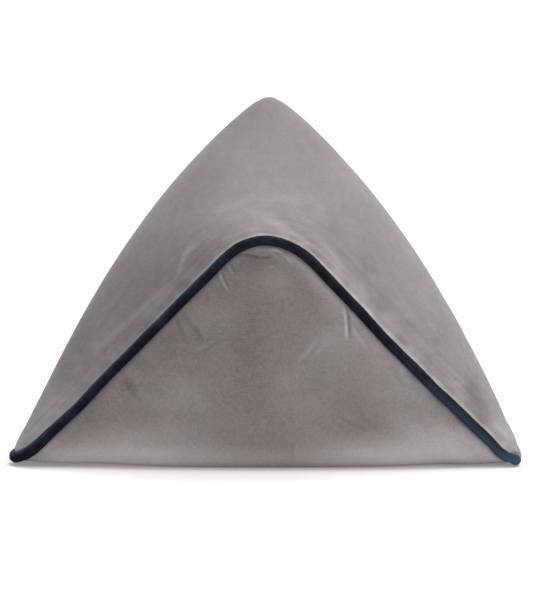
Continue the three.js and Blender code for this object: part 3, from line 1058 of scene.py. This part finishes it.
# Across and deep in the part's frame, from where to where each thing about the welt changes
WELT_FRONT_DEPTHS = (-0.185, -0.120)
WELT_RIGHT_END = (0.100, 0.235)
WELT_LEFT_LEG = (-0.060, -0.020)
WELT_ARCH_WIDTH = 0.060
WELT_TIP = (0.228, 0.246)
WELT_LEFT_GATHERS = (-0.240, -0.200)


def welt_cover():
    """The welt as a loft along its line, a little uneven, with slanted folds where it bends."""
    line = WELT_LINE + TO_FRAME
    ahead = np.roll(line, -1, 0) - np.roll(line, 1, 0)
    ahead /= np.linalg.norm(ahead, axis=1, keepdims=True)
    x = line[:, 0]
    inside = np.array([0, TOP_DEPTH, WELT_INSIDE_HEIGHT]) + TO_FRAME
    out = line - inside
    out -= ahead * (out * ahead).sum(1, keepdims=True)
    out /= np.linalg.norm(out, axis=1, keepdims=True)
    side = np.cross(ahead, out)
    bend = np.linalg.norm(np.roll(ahead, -BEND_STEPS, 0) - np.roll(ahead, BEND_STEPS, 0), axis=1)
    bend = np.clip(bend / SHARP_BEND, 0, 1)
    turns = 2 * np.pi * WELT_LENGTHS / WELT_LENGTH
    uneven = np.sin(23 * turns + 0.6) + 0.7 * np.sin(41 * turns + 2.0) + 0.5 * np.sin(67 * turns + 4.0)
    front = 1 - smooth(*WELT_FRONT_DEPTHS, line[:, 1])
    right_end = smooth(*WELT_RIGHT_END, x) * front
    left_leg = (1 - smooth(*WELT_LEFT_LEG, x)) * front
    arch = hump(x, WELT_ARCH_WIDTH) * front
    tip = smooth(*WELT_TIP, x) * front
    gathered = 1 + WELT_GATHERED * (1 - smooth(*WELT_LEFT_GATHERS, x))
    points, cords, lit = [], [], []
    for k in range(WELT_SIDES):
        around = 2 * np.pi * k / WELT_SIDES
        phase = 2 * np.pi * (WELT_LENGTHS / BIAS_FOLD_PITCH) + BIAS_FOLD_SKEW * 6 * math.sin(around)
        fold = np.maximum(np.sin(phase + 1.7 * np.sin(29 * turns)), 0) ** 3 * (0.25 + 0.75 * bend)
        swell = 1 + WELT_UNEVENNESS * uneven * (0.6 + 0.4 * math.cos(around + 1))
        radius = WELT_RADIUS * swell * gathered - BIAS_FOLD_DEPTH * fold
        points.append(line + (out * math.cos(around) + side * math.sin(around)) * radius[:, None])
        cords.append(np.stack([WELT_LENGTHS, np.full(len(line), around * WELT_RADIUS), 0 * turns], -1))
        # Painted highlights: a lighter, bluer share on the lower side down the right leg, the upper edge of
        # the left leg, the arch and the right tip
        rise = out[:, 2] * math.cos(around) + side[:, 2] * math.sin(around)
        share = WELT_LIT_LEAST + WELT_LIT_ARCH * arch + WELT_LIT_END * tip
        share += right_end * (1 - smooth(-0.3, 0.75, rise)) * WELT_LIT_RIGHT
        lit.append(share + left_leg * smooth(0.10, 0.75, rise) * WELT_LIT_LEFT)
    count = len(line)
    faces = []
    for k in range(WELT_SIDES):
        a, b = k * count, (k + 1) % WELT_SIDES * count
        for i in range(count):
            j = (i + 1) % count
            faces.append((a + i, b + i, b + j, a + j))
    points = np.concatenate(points)
    points[:, 2] = np.maximum(points[:, 2], WELT_FLOOR_CLEARANCE)
    welt = new_object("welt_cover", points, faces)
    store(welt.data, "cord", np.concatenate(cords))
    store(welt.data, "cord_lit", np.concatenate(lit))
    return welt


# Materials


class Shade:
    """A socket of a material or a node tree, so that its maths can be written as sums."""

    def __init__(self, recipe, socket):
        self.recipe = recipe
        self.socket = socket

    def __add__(self, other):
        return self.recipe.maths("ADD", self, other)

    def __sub__(self, other):
        return self.recipe.maths("SUBTRACT", self, other)

    def __mul__(self, other):
        return self.recipe.maths("MULTIPLY", self, other)

    def __rsub__(self, other):
        return self.recipe.maths("SUBTRACT", other, self)

    __radd__ = __add__
    __rmul__ = __mul__


class Recipe:
    """Adds nodes to a tree and joins them."""

    def __init__(self, tree):
        self.tree = tree

    def node(self, kind, settings, inputs, output=0):
        """Adds any node: its settings, then its inputs by name or number."""
        node = self.tree.nodes.new(kind)
        for name, value in settings.items():
            setattr(node, name, value)
        for name, value in inputs.items():
            if isinstance(value, Shade):
                self.tree.links.new(value.socket, node.inputs[name])
            else:
                node.inputs[name].default_value = value
        return Shade(self, node.outputs[output])

    def maths(self, operation, *values):
        return self.node("ShaderNodeMath", {"operation": operation}, dict(enumerate(values)))

    def attribute(self, name, output="Fac"):
        return self.node("ShaderNodeAttribute", {"attribute_name": name}, {}, output)

    def place(self):
        return self.node("ShaderNodeTexCoord", {}, {}, "Object")

    def scaled(self, vector, scale):
        return self.node("ShaderNodeVectorMath", {"operation": "MULTIPLY"}, {0: vector, 1: scale})

    def part(self, vector, axis):
        return self.node("ShaderNodeSeparateXYZ", {}, {0: vector}, axis)

    def joined(self, x, y, z):
        return self.node("ShaderNodeCombineXYZ", {}, {0: x, 1: y, 2: z})

    def noise(self, vector, scale=1.0, detail=2.0, roughness=0.5):
        """Noise around 0, from about -0.5 to 0.5."""
        inputs = {"Vector": vector, "Scale": scale, "Detail": detail, "Roughness": roughness}
        return self.node("ShaderNodeTexNoise", {}, inputs, "Fac") - 0.5

    def tinted(self, color, factor):
        """A colour times a varying factor."""
        return self.scaled(self.joined(factor, factor, factor), color)

    def blended(self, first, second, share):
        """A colour between two, by a share from 0 to 1."""
        settings = {"data_type": "RGBA", "clamp_factor": True}
        return self.node("ShaderNodeMix", settings, {0: share, 6: first, 7: second}, 2)

    def bump(self, height, distance, strength=1.0):
        inputs = {"Height": height, "Distance": distance, "Strength": strength}
        return self.node("ShaderNodeBump", {}, inputs)


def new_material(name, constants):
    """A material with constants on its shader's sockets, and the recipe that adds to it."""
    material = bpy.data.materials.new(name)
    material.use_nodes = True
    shader = material.node_tree.nodes["Principled BSDF"]
    for socket, value in constants.items():
        shader.inputs[socket].default_value = value
    return material, Recipe(material.node_tree)


def feed(material, socket, value):
    shader = material.node_tree.nodes["Principled BSDF"]
    material.node_tree.links.new(value.socket, shader.inputs[socket])


VELVET_COLOR = (0.181, 0.171, 0.170, 1)
# Painted shade: the front panel's colour, darker and redder than the body's, also blended in wherever the
# painted tone is dark
PANEL_AND_SHADE_COLOR = (0.158, 0.1425, 0.139, 1)

# Marks to a metre, along each direction of the cloth or all round
WARP_SCALE = (620, 170, 9)
WEFT_SCALE = (170, 620, 9)
PILE_SCALE = 700
MARK_SCALE = 95
CLOUD_SCALE = 24
HUE_SCALE = 17
BRUSHED_ACROSS = 11
BRUSHED_DOWN = 150


def velvet():
    """Short grey velvet: soft sheen, brushed and mottled nap, painted light and shade from the cover's tone,
    and the ground weave showing through.
    """
    material, recipe = new_material("velvet", {
        "Roughness": 0.92,
        "Specular IOR Level": 0.06,
        "Sheen Weight": 0.10,
        "Sheen Roughness": 0.50,
        "Sheen Tint": (0.90, 0.93, 0.93, 1),
    })
    cloth = recipe.attribute("cloth", "Vector")
    place = recipe.place()
    across = recipe.part(place, "X")
    nap_line = recipe.attribute("nap_line")
    swirl = recipe.attribute("nap_swirl")
    tone = recipe.attribute("nap_tone")

    # Threads of the ground weave, and the grain of the pile: twice as strong where the panel is stretched
    warp = recipe.noise(recipe.scaled(cloth, WARP_SCALE), 1.0, 2.0, 0.6)
    weft = recipe.noise(recipe.scaled(cloth, WEFT_SCALE), 1.0, 2.0, 0.6)
    pile = recipe.noise(place, PILE_SCALE, 2.0, 0.7)
    panel = recipe.part(cloth, "Z")
    stretched = panel * 1.1 + 1.0
    # Marks of hands and of folding in the nap
    clouds = recipe.noise(place, CLOUD_SCALE, 3.0, 0.6)
    marks = recipe.noise(place, MARK_SCALE, 3.0, 0.7)
    strokes = recipe.joined(across * BRUSHED_ACROSS, nap_line * BRUSHED_DOWN, 0.0)
    brushed = recipe.noise(strokes, 1.0, 3.0, 0.6)

    weave = ((warp + weft) * 0.18 + pile * 0.26) * stretched
    hands = clouds * 0.24 + marks * 0.23 + brushed * (swirl * 0.5 + 0.10)
    # Painted shade: the colour turns to the panel's darker, redder one where the painted tone is dark, and
    # its hue drifts from place to place
    drift = recipe.noise(place, HUE_SCALE, 2.0, 0.5)
    color = recipe.blended(VELVET_COLOR, PANEL_AND_SHADE_COLOR, panel + drift * 1.1 - tone * 0.9)
    # Painted light and shade: the base colour is scaled by the painted tone
    feed(material, "Base Color", recipe.tinted(color, tone + weave + hands + 1.0))
    relief = (warp + weft) * 0.5 + pile * 0.5 + marks * 1.2
    feed(material, "Normal", recipe.bump(relief, 0.00035, 0.7))
    return material


WELT_COLOR = (0.0037, 0.0043, 0.0074, 1)
WELT_LIT_COLOR = (0.0450, 0.0800, 0.1280, 1)
BIAS_ANGLE = 0.785
BIAS_THREADS = (1100, 90, 1)


def welt_velvet():
    """Navy velvet cut on the bias: slanted threads, and painted highlights, lighter and bluer, strongest down
    the right leg.
    """
    material, recipe = new_material("welt_velvet", {
        "Roughness": 0.85,
        "Specular IOR Level": 0.08,
        "Sheen Weight": 0.07,
        "Sheen Roughness": 0.30,
        "Sheen Tint": (0.22, 0.42, 0.80, 1),
    })
    cord = recipe.attribute("cord", "Vector")
    lit = recipe.attribute("cord_lit")
    place = recipe.place()
    turn = {"Vector": cord, "Angle": BIAS_ANGLE}
    turned = recipe.node("ShaderNodeVectorRotate", {"rotation_type": "Z_AXIS"}, turn)
    threads = recipe.noise(recipe.scaled(turned, BIAS_THREADS), 1.0, 1.0)
    wear = recipe.noise(place, 60, 3.0, 0.6)
    fuzz = recipe.noise(place, 330, 2.0, 0.6)
    share = lit + threads * 0.16 + wear * 0.32 + fuzz * 0.30
    feed(material, "Base Color", recipe.blended(WELT_COLOR, WELT_LIT_COLOR, share))
    feed(material, "Normal", recipe.bump(threads + wear * 0.6, 0.0003, 0.8))
    return material


def seam_thread():
    """Matching polyester thread, twisted, a little smoother than the velvet."""
    material, recipe = new_material("seam_thread", {
        "Base Color": (0.120, 0.112, 0.112, 1),
        "Roughness": 0.60,
        "Specular IOR Level": 0.30,
    })
    twist = recipe.noise(recipe.scaled(recipe.place(), (900, 900, 2600)), 1.0, 1.0)
    feed(material, "Normal", recipe.bump(twist, 0.0001, 0.6))
    return material


def give(made, material):
    made.data.materials.clear()
    made.data.materials.append(material)


# Stage

FLOOR_HALF = 30.0
FLOOR_COLOR = (0.450, 0.443, 0.440)
FLOOR_GLOW_COLOR = (1.0, 0.94, 0.91, 1)
FLOOR_GLOW = 0.22
SKY_AT_HORIZON = 0.86
SKY_OVERHEAD = 1.16
SKY_TO_THE_RIGHT = 0.50
SKY_BEHIND = 0.22


def floor():
    corners = [(-FLOOR_HALF, -FLOOR_HALF, 0), (FLOOR_HALF, -FLOOR_HALF, 0)]
    corners += [(FLOOR_HALF, FLOOR_HALF, 0), (-FLOOR_HALF, FLOOR_HALF, 0)]
    made = new_object("floor", corners, [(0, 1, 2, 3)])
    give(made, new_material("lit_table", {
        "Base Color": (*FLOOR_COLOR, 1),
        "Roughness": 0.9,
        "Specular IOR Level": 0.2,
        "Emission Color": FLOOR_GLOW_COLOR,
        "Emission Strength": FLOOR_GLOW,
    })[0])


def studio():
    world = bpy.data.worlds.new("studio")
    bpy.context.scene.world = world
    world.use_nodes = True
    sky = world.node_tree.nodes["Background"]
    sky.inputs["Color"].default_value = (1, 1, 1, 1)
    recipe = Recipe(world.node_tree)
    toward = recipe.node("ShaderNodeTexCoord", {}, {}, "Generated")
    across, back = recipe.part(toward, "X"), recipe.part(toward, "Y")
    up = recipe.maths("MAXIMUM", recipe.part(toward, "Z"), 0.0)
    strength = up * up * SKY_OVERHEAD + across * SKY_TO_THE_RIGHT + back * SKY_BEHIND + SKY_AT_HORIZON
    world.node_tree.links.new(strength.socket, sky.inputs["Strength"])
    bpy.context.scene.view_settings.view_transform = "Standard"


def placed(name, data, place, direction):
    """Puts a lamp or a camera in the scene, looking along a direction."""
    made = bpy.data.objects.new(name, data)
    made.location = place
    made.rotation_mode = "QUATERNION"
    made.rotation_quaternion = direction.to_track_quat("-Z", "Y")
    bpy.context.scene.collection.objects.link(made)
    return made


SUN_FROM = Vector((0.18, 0.18, 0.95))
SUN_STRENGTH = 2.8
SUN_ANGLE = math.radians(40)


def sun():
    """Soft light from above, a little to the right and behind, so that the front lies in its own shade."""
    lamp = bpy.data.lights.new("sun", "SUN")
    lamp.energy = SUN_STRENGTH
    lamp.angle = SUN_ANGLE
    placed("sun", lamp, SUN_FROM * 2, -SUN_FROM)


def camera():
    lens = bpy.data.cameras.new("camera")
    lens.sensor_width = SENSOR
    lens.lens = FOLD_DISTANCE * PIXELS_A_METRE / IMAGE_HEIGHT * SENSOR
    bpy.context.scene.camera = placed("camera", lens, CAMERA_PLACE + TO_FRAME, Vector(-CAMERA_BACK))


cushion = cushion_cover()
welt = welt_cover()
give(cushion, velvet())
give(welt, welt_velvet())
stitches = closing_stitches(cushion, seam_thread())
floor()
studio()
sun()
camera()

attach(cushion, "root")
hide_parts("cushion")
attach(welt, "root")
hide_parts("welt")
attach(stitches, "root")
